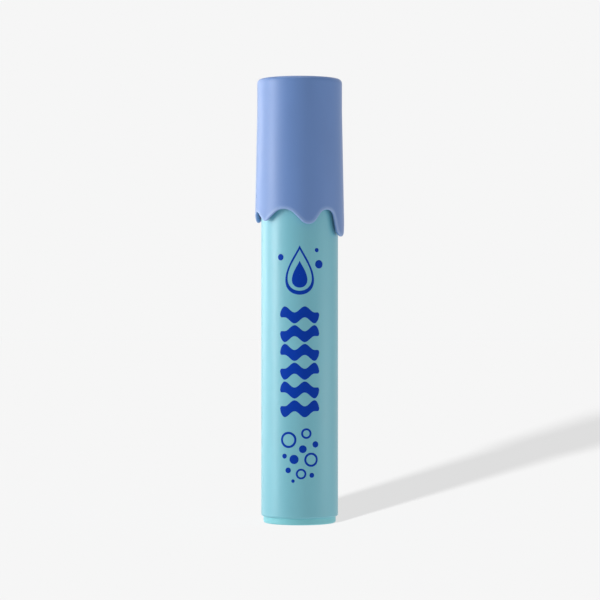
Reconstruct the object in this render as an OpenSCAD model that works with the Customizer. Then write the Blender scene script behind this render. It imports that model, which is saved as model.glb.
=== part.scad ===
// Stain remover pen: a capped applicator with a press-tip valve.
// Millimetres. It stands on its base plug at z = 0, with its axis on Z.
// The side that faces the viewer in a front view is -Y.

/* [Barrel] */
// Outer diameter of the barrel sleeve
barrel_od = 22; // [21:0.1:24]
// Length of the barrel sleeve
barrel_len = 90.3; // [80:0.1:105]
// Wall of the barrel sleeve
barrel_wall = 1.2; // [0.8:0.1:1.5]
// Thickness of the shoulder that closes the top of the sleeve
barrel_shoulder = 1.2; // [0.8:0.1:2]
// Rounding of the sleeve's lower edge
barrel_lip = 0.5; // [0.2:0.1:0.7]
// Rounding of the sleeve's upper edge
barrel_top_round = 0.8; // [0.3:0.1:1]

/* [Base plug] */
// How far the plug's flange stays inside the barrel's outline, in radius
plug_inset = 0.65; // [0.3:0.05:0.9]
// Height of the flange that shows under the barrel
plug_flange_h = 1.9; // [1.4:0.1:3]
// Rounding of the flange's lower edge
plug_edge = 0.5; // [0.2:0.1:0.8]
// Depth of the spigot inside the barrel
plug_spigot_h = 6; // [3:0.5:9]
// Wall of the spigot
plug_spigot_wall = 1.2; // [0.8:0.1:1.6]
// Width of the foot ring that the pen stands on
foot_ring = 2.6; // [1.5:0.1:4]
// Depth of the recess inside the foot ring
foot_recess = 0.6; // [0.3:0.1:0.9]
// Thickness of the soft disc under the bottle
cushion_h = 1.5; // [1:0.1:3]

/* [Inner bottle] */
// Wall of the bottle
bottle_wall = 1.2; // [0.8:0.1:1.6]
// Outer diameter of the bottle's neck
neck_od = 14.8; // [13.8:0.1:15.8]
// Wall of the bottle's neck
neck_wall = 1.4; // [1:0.1:1.6]
// Height of the neck above the bottle's shoulder
neck_h = 8; // [7:0.5:10]
// How far the neck's snap bead stands out
neck_bead = 0.3; // [0.2:0.05:0.4]
// How far the cleaner's level stays below the valve
fluid_drop = 17; // [2:1:60]

/* [Collar] */
// Height of the flange that rests on the barrel's shoulder
collar_flange_h = 1.6; // [1.2:0.1:2.2]
// Wall of the collar round the neck
collar_wall = 1; // [0.8:0.05:1.3]
// Thickness of the deck above the valve
collar_deck = 1; // [0.8:0.1:1.6]
// Wall of the nose at its tip
nose_wall = 1.4; // [1:0.1:1.8]
// Wall of the nose at its root
nose_root_wall = 1.8; // [1.6:0.1:2.2]
// Length of the bore that guides the nib
guide_len = 4.5; // [3:0.5:7]
// Diameter of the bore that guides the nib
guide_d = 9.2; // [8.8:0.1:9.6]
// How far the bead that holds the cap stands out
cap_bead = 0.3; // [0.2:0.05:0.4]

/* [Valve] */
// Thickness of the gasket on the neck
gasket_h = 0.6; // [0.4:0.1:1]
// Thickness of the valve's flange
valve_flange_h = 1.2; // [0.8:0.1:1.6]
// Wall of the valve's tube
valve_wall = 1; // [0.8:0.1:1.2]
// Thickness of the seat web, from the flange's lower face
seat_h = 2; // [1:0.1:2.4]
// Diameter of the hole in the seat
seat_hole_d = 4.2; // [3.6:0.1:4.6]
// Thickness of the seal ring on the poppet
seal_h = 0.6; // [0.4:0.1:1]
// Gap round the poppet that the cleaner flows through
poppet_gap = 1; // [0.7:0.1:1.2]
// Thickness of the poppet
poppet_h = 1.6; // [1:0.1:2]
// Diameter of the valve's stem
stem_d = 2.4; // [2:0.1:2.6]
// Length of the spring with the valve shut
spring_len = 8.4; // [7.5:0.1:11]
// How far the spring stays inside the poppet's edge, in radius
spring_inset = 0.6; // [0.4:0.1:0.8]
// Diameter of the spring's wire
spring_wire = 0.5; // [0.4:0.05:0.6]
// Turns of the spring
spring_turns = 6; // [5:1:7]
// Thickness of the cage's foot below the valve's tube
cage_foot_h = 1.2; // [0.8:0.1:2]
// Height of the cage's plug inside the tube
cage_plug_h = 2; // [1.5:0.1:3]
// Height of the cage's guide above its plug
cage_guide_h = 1.5; // [1:0.1:2]
// Holes that let the cleaner into the valve
cage_holes = 6; // [4:1:8]

/* [Nib] */
// How far the nib presses in
press_travel = 2.5; // [1.5:0.1:3]
// Diameter of the porous nib
nib_d = 10.5; // [9.8:0.1:11]
// Straight part of the nib below its dome
nib_straight = 0.45; // [0.3:0.05:2]
// Thickness of the holder's stop flange
holder_flange_h = 1.4; // [1:0.1:2]
// How far the holder's stop flange stands out
holder_flange = 0.8; // [0.6:0.1:1.1]
// Wall of the holder's cup
holder_wall = 0.75; // [0.6:0.05:1]
// Thickness of the holder's floor
holder_floor = 2.8; // [2:0.1:3.5]

/* [Cap] */
// Gap between the barrel and the cap's skirt
skirt_gap = 0.6; // [0.57:0.01:0.8]
// Wall of the skirt at its arches
skirt_wall = 1.1; // [0.9:0.1:1.4]
// How much wider the cap is at its skirt than at its top, in radius
cap_flare = 0.55; // [0.3:0.05:0.7]
// Straight part of the cap below its top
cap_straight = 9.3; // [4:0.1:20]
// Wall of the cap above the skirt
cap_wall = 1.25; // [1:0.05:1.4]
// Thickness of the cap's top
cap_top_h = 1.6; // [1.2:0.1:2]
// Rounding of the cap's top edge
cap_round = 1.3; // [0.5:0.1:1.6]
// How far the highest arch of the skirt reaches below the barrel's top
skirt_overlap = 2.8; // [1:0.1:8]

/* [Cap liner] */
// Gap between the collar and the liner
liner_gap = 0.6; // [0.5:0.05:0.7]
// Wall of the liner
liner_wall = 0.9; // [0.7:0.1:1.1]
// How far the liner's bead stands in
liner_bead = 0.225; // [0.15:0.025:0.225]
// Thickness of the liner's top
liner_top_h = 1.2; // [0.8:0.1:2]
// Ribs that centre the liner in the cap
rib_count = 8; // [6:1:12]
// Thickness of a rib
rib_t = 1; // [0.8:0.1:1.6]
// Wall of the soft seal
seal_cup_wall = 1.2; // [1:0.1:1.4]
// Thickness of the soft seal's top
seal_cup_top = 1.2; // [0.8:0.1:2]
// Room between the nib's tip and the soft seal
nib_headroom = 5; // [4.5:0.1:8]

/* [Hidden] */
$fn = 96;

// Angles run from the front (-Y) towards +X.
// Drips of the skirt: angle, length below the arch line, radius of the tip
DRIPS = [[-106, 3.5, 2.2], [-51.5, 3.3, 1.9], [11.5, 4.25, 2.8],
         [70.5, 7.6, 3.2], [132, 5.1, 2.6], [193, 3.2, 2.2]];
// Arch that follows each drip: angle, depth of its top below the arch line, radius
ARCHES = [[-76, 0.6, 3], [-21.7, 0.05, 4], [38.4, 0.15, 2.7],
          [103.7, 0.5, 2.6], [162, 0.2, 3], [224, 0.4, 3]];

// Clearances: a push fit, a running fit, and room kept between pieces at the end of a travel
push_fit = 0.05;
run_fit = 0.1;
end_gap = 0.3;
// Reach of a cutter past the face that it cuts, and overlap of two solids that are joined
past = 1;

// Small sizes that follow good moulding practice
bottle_gap = 0.3;
bottle_round = 1;
neck_bead_round = 0.5;
shoulder_gap = 0.2;
cap_bead_round = 0.6;
cap_bead_drop = 2.3;
bead_spacing = 1.9;
flange_inset = 0.1;
chamber_gap = 0.5;
nose_round = 0.5;
nib_edge = 0.3;
valve_gap = 0.2;
cage_guide_gap = 0.5;
cage_hole_r = 0.55;
flow_hole_r = 0.6;
flow_holes = 4;
stem_cover = 0.8;
closed_pitch = 1.15 * spring_wire;
end_turn = 1 / spring_turns;
step_gap = 0.4;
flank_bite = 0.02;
seal_room = 0.3;
seal_reach = 2.5;
deck_rise = 2.7;
rib_start = 2.5;
liner_bead_round = 0.5;

// Radii, from the barrel inwards
barrel_r = barrel_od / 2;
barrel_bore_r = barrel_r - barrel_wall;
bottle_r = barrel_bore_r - bottle_gap;
bottle_bore_r = bottle_r - bottle_wall;
neck_r = neck_od / 2;
neck_bore_r = neck_r - neck_wall;
shoulder_hole_r = neck_r + shoulder_gap;

// Radii of the plug
plug_r = barrel_r - plug_inset;
spigot_r = barrel_bore_r - push_fit;
foot_recess_r = plug_r - foot_ring;

// Radii of the collar and the nib
collar_bore_r = neck_r + push_fit;
collar_r = collar_bore_r + collar_wall;
guide_r = guide_d / 2;
holder_r = guide_r - run_fit;
holder_flange_r = holder_r + holder_flange;
holder_bore_r = holder_r - holder_wall;
chamber_r = holder_flange_r + chamber_gap;
nose_r = guide_r + nose_wall;
nose_root_r = chamber_r + nose_root_wall;
nib_r = nib_d / 2;
shank_r = holder_bore_r - push_fit;

// Radii of the valve
valve_r = neck_bore_r - valve_gap;
valve_bore_r = valve_r - valve_wall;
valve_flange_r = neck_r - valve_gap;
seat_hole_r = seat_hole_d / 2;
stem_r = stem_d / 2;
poppet_r = valve_bore_r - poppet_gap;
seal_ring_r = poppet_r - valve_gap;
spring_r = poppet_r - spring_inset;
spring_mean_r = spring_r - spring_wire / 2;
cage_plug_r = valve_bore_r - push_fit;
cage_guide_r = spring_r - spring_wire - cage_guide_gap;
cage_bore_r = stem_r + run_fit;
cage_hole_at = (spring_r + cage_plug_r) / 2;

// Heights, from the floor up
barrel_z0 = plug_flange_h;
barrel_z1 = barrel_z0 + barrel_len;
spigot_z1 = plug_flange_h + plug_spigot_h;
bottle_z0 = spigot_z1 + cushion_h;
bottle_z1 = barrel_z1 - barrel_shoulder;
fluid_r = bottle_bore_r - push_fit;
fluid_z0 = bottle_z0 + bottle_wall;
neck_z1 = bottle_z1 + neck_h;
neck_bead_z = barrel_z1 + neck_h / 2;
collar_flange_z1 = barrel_z1 + collar_flange_h;
valve_flange_z0 = neck_z1 + gasket_h;
deck_z = valve_flange_z0 + valve_flange_h;
nose_root_z = deck_z + collar_deck;
ledge_z = deck_z + end_gap + press_travel + holder_flange_h;
nose_z1 = ledge_z + guide_len;
cap_bead_z = nose_root_z - cap_bead_drop;
liner_bead_z = cap_bead_z - bead_spacing;

// Heights of the valve and the nib, with the valve shut
seat_z = valve_flange_z0 - seat_h;
seal_z = seat_z - seal_h;
poppet_z = seal_z - poppet_h;
spring_z = poppet_z - spring_len;
tube_z0 = spring_z - cage_plug_h;
cage_z0 = tube_z0 - cage_foot_h;
fluid_z1 = cage_z0 - fluid_drop;
guide_pin_z = spring_z + cage_guide_h - end_gap;
holder_z0 = ledge_z - holder_flange_h;
holder_floor_z = holder_z0 + holder_floor;
stem_z1 = holder_floor_z - stem_cover;
nib_z0 = nose_z1 + press_travel + end_gap;
nib_tip_z = nib_z0 + nib_straight + nib_r;

// Heights of the cap
seal_ceiling_z = nib_tip_z + nib_headroom;
seal_cup_z1 = seal_ceiling_z + seal_cup_top;
liner_z1 = seal_cup_z1 + liner_top_h;
cap_z1 = liner_z1 + cap_top_h;
arch_z = barrel_z1 - skirt_overlap;
flare_z = cap_z1 - cap_straight;
skirt_step_z = collar_flange_z1 + step_gap;

// Radii of the cap
skirt_bore_r = barrel_r + skirt_gap;
skirt_r = skirt_bore_r + skirt_wall;
cap_top_r = skirt_r - cap_flare;
flare_slope = cap_flare / (flare_z - arch_z);
function cap_r(z) = cap_top_r + max(0, flare_z - z) * flare_slope;
cap_bore_top_r = cap_top_r - cap_wall;
cap_bore_step_r = cap_r(skirt_step_z) - cap_wall;
drip_root_z = arch_z + past;
drip_wall_z0 = arch_z - max([for (d = DRIPS) d[1]]) - past;

// Radii and heights of the liner and the soft seal
liner_bore_r = collar_r + liner_gap;
liner_r = liner_bore_r + liner_wall;
collar_flange_r = liner_r - flange_inset;
seal_bore_r = nose_r + seal_room;
seal_cup_r = seal_bore_r + seal_cup_wall;
socket_r = seal_cup_r + push_fit;
socket_wall_r = socket_r + liner_wall;
liner_deck_z = nose_root_z + deck_rise;
seal_cup_z0 = nose_z1 - seal_reach;
rib_z0 = skirt_step_z + rib_start;

// Radius of the nose's outside at a height above its root
function nose_cone_r(z) = nose_root_r - (nose_root_r - nose_r) * (z - nose_root_z) / (nose_z1 - nose_root_z);

// What a rounding of radius f takes off a corner at x, z; sx and sz point out of the solid
module corner_cut(x, z, f, sx, sz) {
    translate([x - sx * f, z - sz * f])
        difference() {
            translate([min(0, sx) * (f + past), min(0, sz) * (f + past)]) square(f + past);
            circle(r = f);
        }
}

// A rectangle of a turned profile, from radius r0 to r1 and height z0 to z1
module band(r0, r1, z0, z1) {
    translate([r0, z0]) square([r1 - r0, z1 - z0]);
}

// Direction in which the straight flank between a drip's tip and an arch faces, as an angle;
// du and dz lead from the centre of the tip's circle to the centre of the arch's
function flank_normal(du, dz, tip_r, bow_r) =
    atan2(dz, du) - acos((tip_r + bow_r - 2 * flank_bite) / norm([du, dz]));

// Points of a drip's flank towards +x, from above its root down to the tip's circle.
// The rounds bite a little into the straight flank, so that they cross it cleanly.
function flank(tip, tip_r, arch_u, arch_dip, bow_r) =
    let (bow = [arch_u, -arch_dip - bow_r],
         normal = flank_normal(bow[0] - tip[0], bow[1] - tip[1], tip_r, bow_r),
         out = [cos(normal), sin(normal)])
    [[arch_u + past, 2 * past], [arch_u + past, -arch_dip - bow_r / 2], bow,
     bow - (bow_r - flank_bite) * out, tip + (tip_r - flank_bite) * out];

// The same points towards -x, from the tip up
function mirrored(points) = [for (i = [len(points) - 1:-1:0]) [-points[i][0], points[i][1]]];

// One drip of the skirt, seen from outside with the arch line at height 0.
// after and before are the arches beside it: distance from the drip, depth of the top, radius
module drip_outline(length, tip_r, after, before) {
    tip = [0, tip_r - length];
    difference() {
        union() {
            polygon(concat(flank(tip, tip_r, after[0], after[1], after[2]), [tip],
                           mirrored(flank(tip, tip_r, before[0], before[1], before[2]))));
            translate(tip) circle(r = tip_r);
        }
        translate([after[0], -after[1] - after[2]]) circle(r = after[2]);
        translate([-before[0], -before[1] - before[2]]) circle(r = before[2]);
    }
}

// One drip as a block that reaches through the skirt's wall
module drip_block(i) {
    drip = DRIPS[i];
    after = ARCHES[i];
    before = ARCHES[(i + len(ARCHES) - 1) % len(ARCHES)];
    turn = i == 0 ? 360 : 0;
    rotate(drip[0]) translate([0, past - skirt_bore_r, arch_z]) rotate([90, 0, 0])
        linear_extrude(height = skirt_wall + cap_flare + 2 * past)
            drip_outline(drip[1], drip[2], [skirt_r * sin(after[0] - drip[0]), after[1], after[2]],
                         [skirt_r * sin(drip[0] + turn - before[0]), before[1], before[2]]);
}

// Wall of the skirt that the drips are cut from
module drip_wall() {
    rotate_extrude() polygon([[skirt_bore_r, drip_wall_z0], [cap_r(drip_wall_z0), drip_wall_z0],
                              [cap_r(drip_root_z), drip_root_z], [skirt_bore_r, drip_root_z]]);
}

// Outer cap with its dripping skirt
module cap_shell() {
    color([0.46, 0.57, 0.84]) {
        rotate_extrude() difference() {
            polygon([[0, drip_root_z], [cap_r(drip_root_z), drip_root_z], [cap_top_r, flare_z],
                     [cap_top_r, cap_z1], [0, cap_z1]]);
            corner_cut(cap_top_r, cap_z1, cap_round, 1, 1);
            band(-past, skirt_bore_r, drip_root_z - past, skirt_step_z);
            polygon([[-past, skirt_step_z - past], [cap_bore_step_r, skirt_step_z - past],
                     [cap_bore_step_r, skirt_step_z], [cap_bore_top_r, liner_z1], [-past, liner_z1]]);
        }
        for (i = [0:len(DRIPS) - 1]) intersection() {
            drip_wall();
            drip_block(i);
        }
    }
}

// Ribbed inner cap that snaps over the collar's bead
module cap_liner() {
    color([0.93, 0.94, 0.95]) {
        rotate_extrude() difference() {
            union() {
                band(liner_bore_r, liner_r, collar_flange_z1, liner_deck_z + liner_wall);
                band(socket_r, liner_r, liner_deck_z, liner_deck_z + liner_wall);
                band(socket_r, socket_wall_r, liner_deck_z, liner_z1);
                band(0, socket_wall_r, seal_cup_z1, liner_z1);
                translate([liner_bore_r + liner_bead_round - liner_bead, liner_bead_z])
                    circle(r = liner_bead_round);
            }
            corner_cut(liner_r, liner_deck_z + liner_wall, liner_wall / 2, 1, 1);
        }
        intersection() {
            for (i = [0:rib_count - 1]) rotate(i * 360 / rib_count) difference() {
                translate([socket_wall_r - push_fit, -rib_t / 2, rib_z0])
                    cube([cap_bore_step_r, rib_t, liner_z1 - rib_z0]);
                translate([0, 0, rib_z0 - past])
                    cylinder(r = liner_r - push_fit, h = liner_deck_z + liner_wall / 2 - rib_z0 + past);
            }
            translate([0, 0, skirt_step_z])
                cylinder(r1 = cap_bore_step_r - push_fit, r2 = cap_bore_top_r - push_fit,
                         h = liner_z1 - skirt_step_z);
        }
    }
}

// Soft cup inside the liner that closes round the nose
module cap_inner_seal() {
    color([0.55, 0.75, 0.85]) rotate_extrude() difference() {
        band(0, seal_cup_r, seal_cup_z0, seal_cup_z1);
        band(0, seal_bore_r, seal_cup_z0 - past, seal_ceiling_z);
        polygon([[0, seal_cup_z0 - past], [nose_cone_r(seal_cup_z0 - past) + run_fit, seal_cup_z0 - past],
                 [nose_r + run_fit, nose_z1], [0, nose_z1]]);
        corner_cut(seal_cup_r, seal_cup_z0, seal_cup_wall / 3, 1, -1);
    }
}

// Outer sleeve, open below and with a shoulder above
module barrel() {
    color([0.5, 0.78, 0.84]) rotate_extrude() difference() {
        band(0, barrel_r, barrel_z0, barrel_z1);
        band(-past, barrel_bore_r, barrel_z0 - past, barrel_z1 - barrel_shoulder);
        band(-past, shoulder_hole_r, barrel_z0, barrel_z1 + past);
        corner_cut(barrel_r, barrel_z0, barrel_lip, 1, -1);
        corner_cut(barrel_r, barrel_z1, barrel_top_round, 1, 1);
    }
}

// Plug that closes the barrel and is the pen's foot
module base_plug() {
    color([0.62, 0.86, 0.89]) rotate_extrude() difference() {
        union() {
            band(0, plug_r, 0, plug_flange_h);
            band(0, spigot_r, 0, spigot_z1);
        }
        band(-past, spigot_r - plug_spigot_wall, plug_flange_h, spigot_z1 + past);
        band(-past, foot_recess_r, -past, foot_recess);
        corner_cut(plug_r, 0, plug_edge, 1, -1);
        corner_cut(spigot_r, spigot_z1, plug_spigot_wall / 2, 1, 1);
    }
}

// Soft disc that holds the bottle up against the shoulder
module base_cushion() {
    color([0.85, 0.85, 0.83]) translate([0, 0, spigot_z1]) cylinder(r = bottle_r, h = cushion_h);
}

// Bottle that holds the cleaner
module inner_bottle() {
    color([0.95, 0.95, 0.92]) rotate_extrude() difference() {
        union() {
            band(0, bottle_r, bottle_z0, bottle_z1);
            band(0, neck_r, bottle_z0, neck_z1);
            translate([neck_r + neck_bead - neck_bead_round, neck_bead_z]) circle(r = neck_bead_round);
        }
        band(-past, bottle_bore_r, fluid_z0, bottle_z1 - bottle_wall);
        band(-past, neck_bore_r, fluid_z0, neck_z1 + past);
        corner_cut(bottle_r, bottle_z0, bottle_round, 1, -1);
        corner_cut(bottle_r, bottle_z1, bottle_round, 1, 1);
    }
}

// Cleaner, with the pen upright
module cleaning_fluid() {
    color([0.75, 0.9, 0.95]) translate([0, 0, fluid_z0]) cylinder(r = fluid_r, h = fluid_z1 - fluid_z0);
}

// Nose piece: snaps on the neck, carries the cap's bead and guides the nib
module collar() {
    color([0.93, 0.94, 0.95]) rotate_extrude() difference() {
        union() {
            band(0, collar_flange_r, barrel_z1, collar_flange_z1);
            band(0, collar_r, barrel_z1, nose_root_z);
            translate([collar_r + cap_bead - cap_bead_round, cap_bead_z]) circle(r = cap_bead_round);
            polygon([[0, nose_root_z], [nose_root_r, nose_root_z], [nose_r, nose_z1], [0, nose_z1]]);
        }
        band(-past, collar_bore_r, barrel_z1 - past, deck_z);
        translate([neck_r + neck_bead - neck_bead_round, neck_bead_z]) circle(r = neck_bead_round + run_fit);
        band(-past, chamber_r, deck_z - past, ledge_z);
        band(-past, guide_r, deck_z, nose_z1 + past);
        corner_cut(collar_r, nose_root_z, nose_round, 1, 1);
        corner_cut(collar_flange_r, collar_flange_z1, nose_round, 1, 1);
    }
}

// Flat gasket between the neck and the valve
module valve_gasket() {
    color([0.35, 0.37, 0.4]) translate([0, 0, neck_z1]) difference() {
        cylinder(r = neck_r, h = gasket_h);
        translate([0, 0, -past]) cylinder(r = neck_bore_r, h = gasket_h + 2 * past);
    }
}

// Tube with the valve's seat, clamped between the gasket and the collar's deck
module valve_body() {
    color([0.9, 0.9, 0.88]) rotate_extrude() difference() {
        union() {
            band(0, valve_flange_r, valve_flange_z0, deck_z);
            band(0, valve_r, tube_z0, deck_z);
        }
        band(-past, valve_bore_r, tube_z0 - past, seat_z);
        band(-past, seat_hole_r, seat_z - past, deck_z);
        band(-past, valve_bore_r, valve_flange_z0, deck_z + past);
    }
}

// Perforated foot of the valve, which carries the spring
module valve_cage() {
    color([0.9, 0.9, 0.88]) difference() {
        union() {
            translate([0, 0, cage_z0]) cylinder(r = valve_r, h = cage_foot_h);
            translate([0, 0, tube_z0]) cylinder(r = cage_plug_r, h = cage_plug_h);
            translate([0, 0, spring_z]) cylinder(r = cage_guide_r, h = cage_guide_h);
        }
        translate([0, 0, cage_z0 - past])
            cylinder(r = cage_bore_r, h = spring_z + cage_guide_h - cage_z0 + 2 * past);
        for (i = [0:cage_holes - 1]) rotate(i * 360 / cage_holes) translate([cage_hole_at, 0, cage_z0 - past])
            cylinder(r = cage_hole_r, h = cage_foot_h + cage_plug_h + 2 * past);
    }
}

// Height of the spring's wire centre at a share t of its length: closed end turns, even pitch between
function spring_wire_z(t) =
    let (rise = spring_len - spring_wire - 2 * closed_pitch)
    spring_z + spring_wire / 2 + closed_pitch * min(t, end_turn) / end_turn
    + rise * max(0, min(1, (t - end_turn) / (1 - 2 * end_turn)))
    + closed_pitch * max(0, t - 1 + end_turn) / end_turn;

// Compression spring between the cage and the poppet
module valve_spring() {
    steps = spring_turns * 20;
    sides = 8;
    points = [for (i = [0:steps]) let (t = i / steps, a = 360 * spring_turns * t, z = spring_wire_z(t))
              for (j = [0:sides - 1]) let (b = 360 * j / sides, r = spring_mean_r + spring_wire / 2 * cos(b))
              [r * cos(a), r * sin(a), z + spring_wire / 2 * sin(b)]];
    walls = [for (i = [0:steps - 1], j = [0:sides - 1]) let (k = (j + 1) % sides)
             [i * sides + j, (i + 1) * sides + j, (i + 1) * sides + k, i * sides + k]];
    ends = [[for (j = [0:sides - 1]) j], [for (j = [sides - 1:-1:0]) steps * sides + j]];
    color([0.72, 0.73, 0.75]) polyhedron(points = points, faces = concat(walls, ends));
}

// Stem with the poppet that shuts the seat from below
module valve_stem() {
    color([0.85, 0.86, 0.88]) {
        translate([0, 0, guide_pin_z]) cylinder(r = stem_r, h = stem_z1 - guide_pin_z);
        translate([0, 0, poppet_z]) cylinder(r = poppet_r, h = poppet_h);
    }
}

// Soft ring on the poppet
module valve_seal_ring() {
    color([0.35, 0.37, 0.4]) translate([0, 0, seal_z]) difference() {
        cylinder(r = seal_ring_r, h = seal_h);
        translate([0, 0, -past]) cylinder(r = stem_r + push_fit, h = seal_h + 2 * past);
    }
}

// Sliding cup that carries the nib and is stopped by the collar's ledge
module nib_holder() {
    color([0.93, 0.94, 0.95]) difference() {
        union() {
            translate([0, 0, holder_z0]) cylinder(r = holder_flange_r, h = holder_flange_h);
            translate([0, 0, holder_z0]) cylinder(r = holder_r, h = nib_z0 - holder_z0);
        }
        translate([0, 0, holder_floor_z]) cylinder(r = holder_bore_r, h = nib_z0 - holder_floor_z + past);
        translate([0, 0, holder_z0 - past]) cylinder(r = stem_r + push_fit, h = stem_z1 - holder_z0 + past);
        for (i = [0:flow_holes - 1]) rotate(i * 360 / flow_holes)
            translate([(stem_r + holder_bore_r) / 2, 0, holder_z0 - past])
                cylinder(r = flow_hole_r, h = holder_floor + 2 * past);
    }
}

// Domed porous tip with a shank in the holder
module nib() {
    color([0.97, 0.97, 0.95]) rotate_extrude() difference() {
        union() {
            band(0, shank_r, holder_floor_z, nib_z0 + nib_straight);
            band(0, nib_r, nib_z0, nib_z0 + nib_straight);
            intersection() {
                translate([0, nib_z0 + nib_straight]) circle(r = nib_r);
                band(0, nib_r + past, nib_z0 + nib_straight, nib_tip_z + past);
            }
        }
        corner_cut(nib_r, nib_z0, nib_edge, 1, -1);
    }
}

cap_shell();
cap_liner();
cap_inner_seal();
barrel();
base_plug();
base_cushion();
inner_bottle();
cleaning_fluid();
collar();
valve_gasket();
valve_body();
valve_cage();
valve_spring();
valve_stem();
valve_seal_ring();
nib_holder();
nib();
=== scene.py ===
"""Looks of a stain remover pen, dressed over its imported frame.

Shapes are worked out in millimetres and become metres when a mesh is made. The pen stands on
z = 0 with its axis on Z, and its front faces -Y. Angles round it run from the front towards +X.
"""

import math

import bmesh
import bpy
import numpy as np
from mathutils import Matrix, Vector, noise


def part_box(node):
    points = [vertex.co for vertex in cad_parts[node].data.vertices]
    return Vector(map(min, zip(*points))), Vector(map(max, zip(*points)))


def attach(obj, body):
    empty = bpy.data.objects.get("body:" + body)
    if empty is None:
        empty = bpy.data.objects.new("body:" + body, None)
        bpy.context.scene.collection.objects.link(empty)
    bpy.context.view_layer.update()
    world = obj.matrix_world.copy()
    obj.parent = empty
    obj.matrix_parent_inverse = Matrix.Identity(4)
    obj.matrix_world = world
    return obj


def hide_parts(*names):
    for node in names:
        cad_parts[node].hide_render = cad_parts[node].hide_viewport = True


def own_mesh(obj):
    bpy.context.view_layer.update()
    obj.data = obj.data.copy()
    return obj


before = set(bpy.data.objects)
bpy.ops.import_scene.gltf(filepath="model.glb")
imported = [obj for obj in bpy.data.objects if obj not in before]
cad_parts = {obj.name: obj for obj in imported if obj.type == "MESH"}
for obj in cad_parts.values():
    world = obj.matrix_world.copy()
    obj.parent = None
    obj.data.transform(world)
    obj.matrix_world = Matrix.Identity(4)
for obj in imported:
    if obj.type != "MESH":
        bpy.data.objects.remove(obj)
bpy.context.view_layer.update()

MM = 0.001
BODY_PEN, BODY_CAP, BODY_TIP = "pen", "cap", "tip"


def low(node):
    """Lowest corner of a node, in millimetres."""
    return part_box(node)[0] / MM


def high(node):
    """Highest corner of a node, in millimetres."""
    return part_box(node)[1] / MM


# Sizes that the frame gives
BARREL_R = high("barrel").x
BARREL_Z0 = low("barrel").z
BARREL_Z1 = high("barrel").z
PLUG_R = high("base_plug").x
SPIGOT_Z1 = high("base_plug").z
NOSE_Z1 = high("collar").z
NIB_R = high("nib").x
NIB_Z1 = high("nib").z
LINER_Z0 = low("cap_liner").z
LINER_Z1 = high("cap_liner").z
SEAL_R = high("cap_inner_seal").x
SEAL_Z0 = low("cap_inner_seal").z
SEAL_Z1 = high("cap_inner_seal").z
CAP_Z1 = high("cap_shell").z

# Sizes shared with the part's source
PUSH_FIT = 0.05
RUN_FIT = 0.1
BARREL_WALL = 1.2
BARREL_SHOULDER = 1.2
BARREL_LIP = 0.5
BARREL_TOP_ROUND = 0.8
PLUG_EDGE = 0.5
SPIGOT_WALL = 1.2
FOOT_RING = 2.6
FOOT_RECESS = 0.6
NECK_R = 7.4
SHOULDER_GAP = 0.2
COLLAR_WALL = 1.0
COLLAR_FLANGE_H = 1.6
COLLAR_DECK = 1.0
FLANGE_INSET = 0.1
CHAMBER_R = 5.8
GUIDE_R = 4.6
GUIDE_LEN = 4.5
NOSE_WALL = 1.4
NOSE_ROOT_WALL = 1.8
NOSE_ROOT_DROP = 7.7
CAP_BEAD = 0.3
CAP_BEAD_ROUND = 0.6
CAP_BEAD_DROP = 2.3
SKIRT_GAP = 0.6
SKIRT_WALL = 1.1
CAP_FLARE = 0.55
CAP_STRAIGHT = 9.3
CAP_WALL = 1.25
CAP_ROUND = 1.3
SKIRT_OVERLAP = 2.8
STEP_GAP = 0.4
LINER_GAP = 0.6
LINER_WALL = 0.9
LINER_BEAD = 0.225
LINER_BEAD_ROUND = 0.5
LINER_BEAD_SPACING = 1.9
LINER_DECK_RISE = 2.7
LINER_TOP_H = 1.2
RIBS = 8
RIB_T = 1.0
RIB_START = 2.5
SEAL_WALL = 1.2
SEAL_TOP = 1.2
HOLDER_WALL = 0.75
NIB_OVERHANG_Z = 5.7
NIB_EDGE = 0.3
SPRING_WIRE = 0.5
SPRING_TURNS = 6
CLOSED_PITCH = 1.15 * SPRING_WIRE

# Drips of the skirt: angle, length below the arch line, radius of the tip
DRIPS = [(-106, 3.5, 2.2), (-51.5, 3.3, 1.9), (11.5, 4.25, 2.8),
         (70.5, 7.6, 3.2), (132, 5.1, 2.6), (193, 3.2, 2.2)]
# Arch that follows each drip: angle, depth of its top below the arch line, radius
ARCHES = [(-76, 0.6, 3), (-21.7, 0.05, 4), (38.4, 0.15, 2.7),
          (103.7, 0.5, 2.6), (162, 0.2, 3), (224, 0.4, 3)]

# Finish of the skirt's edge: rounding outside, the ease inside as its depth in the wall and its
# height, and the height at which the inside is plain again
LIP_OUTER = 0.35
LIP_DEPTH = 0.75
LIP_INNER = 1.1
LIP_PLAIN = 1.3 * LIP_INNER
LIP_STEPS = 8
# How far the painted highlight along the skirt's edge reaches into the skirt from its edge, how strong it is,
# and the weaker share of it on the ease inside
RIM_REACH = 1.15
RIM_HIGHLIGHT = 0.55
INNER_HIGHLIGHT = 0.3 * RIM_HIGHLIGHT

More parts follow.
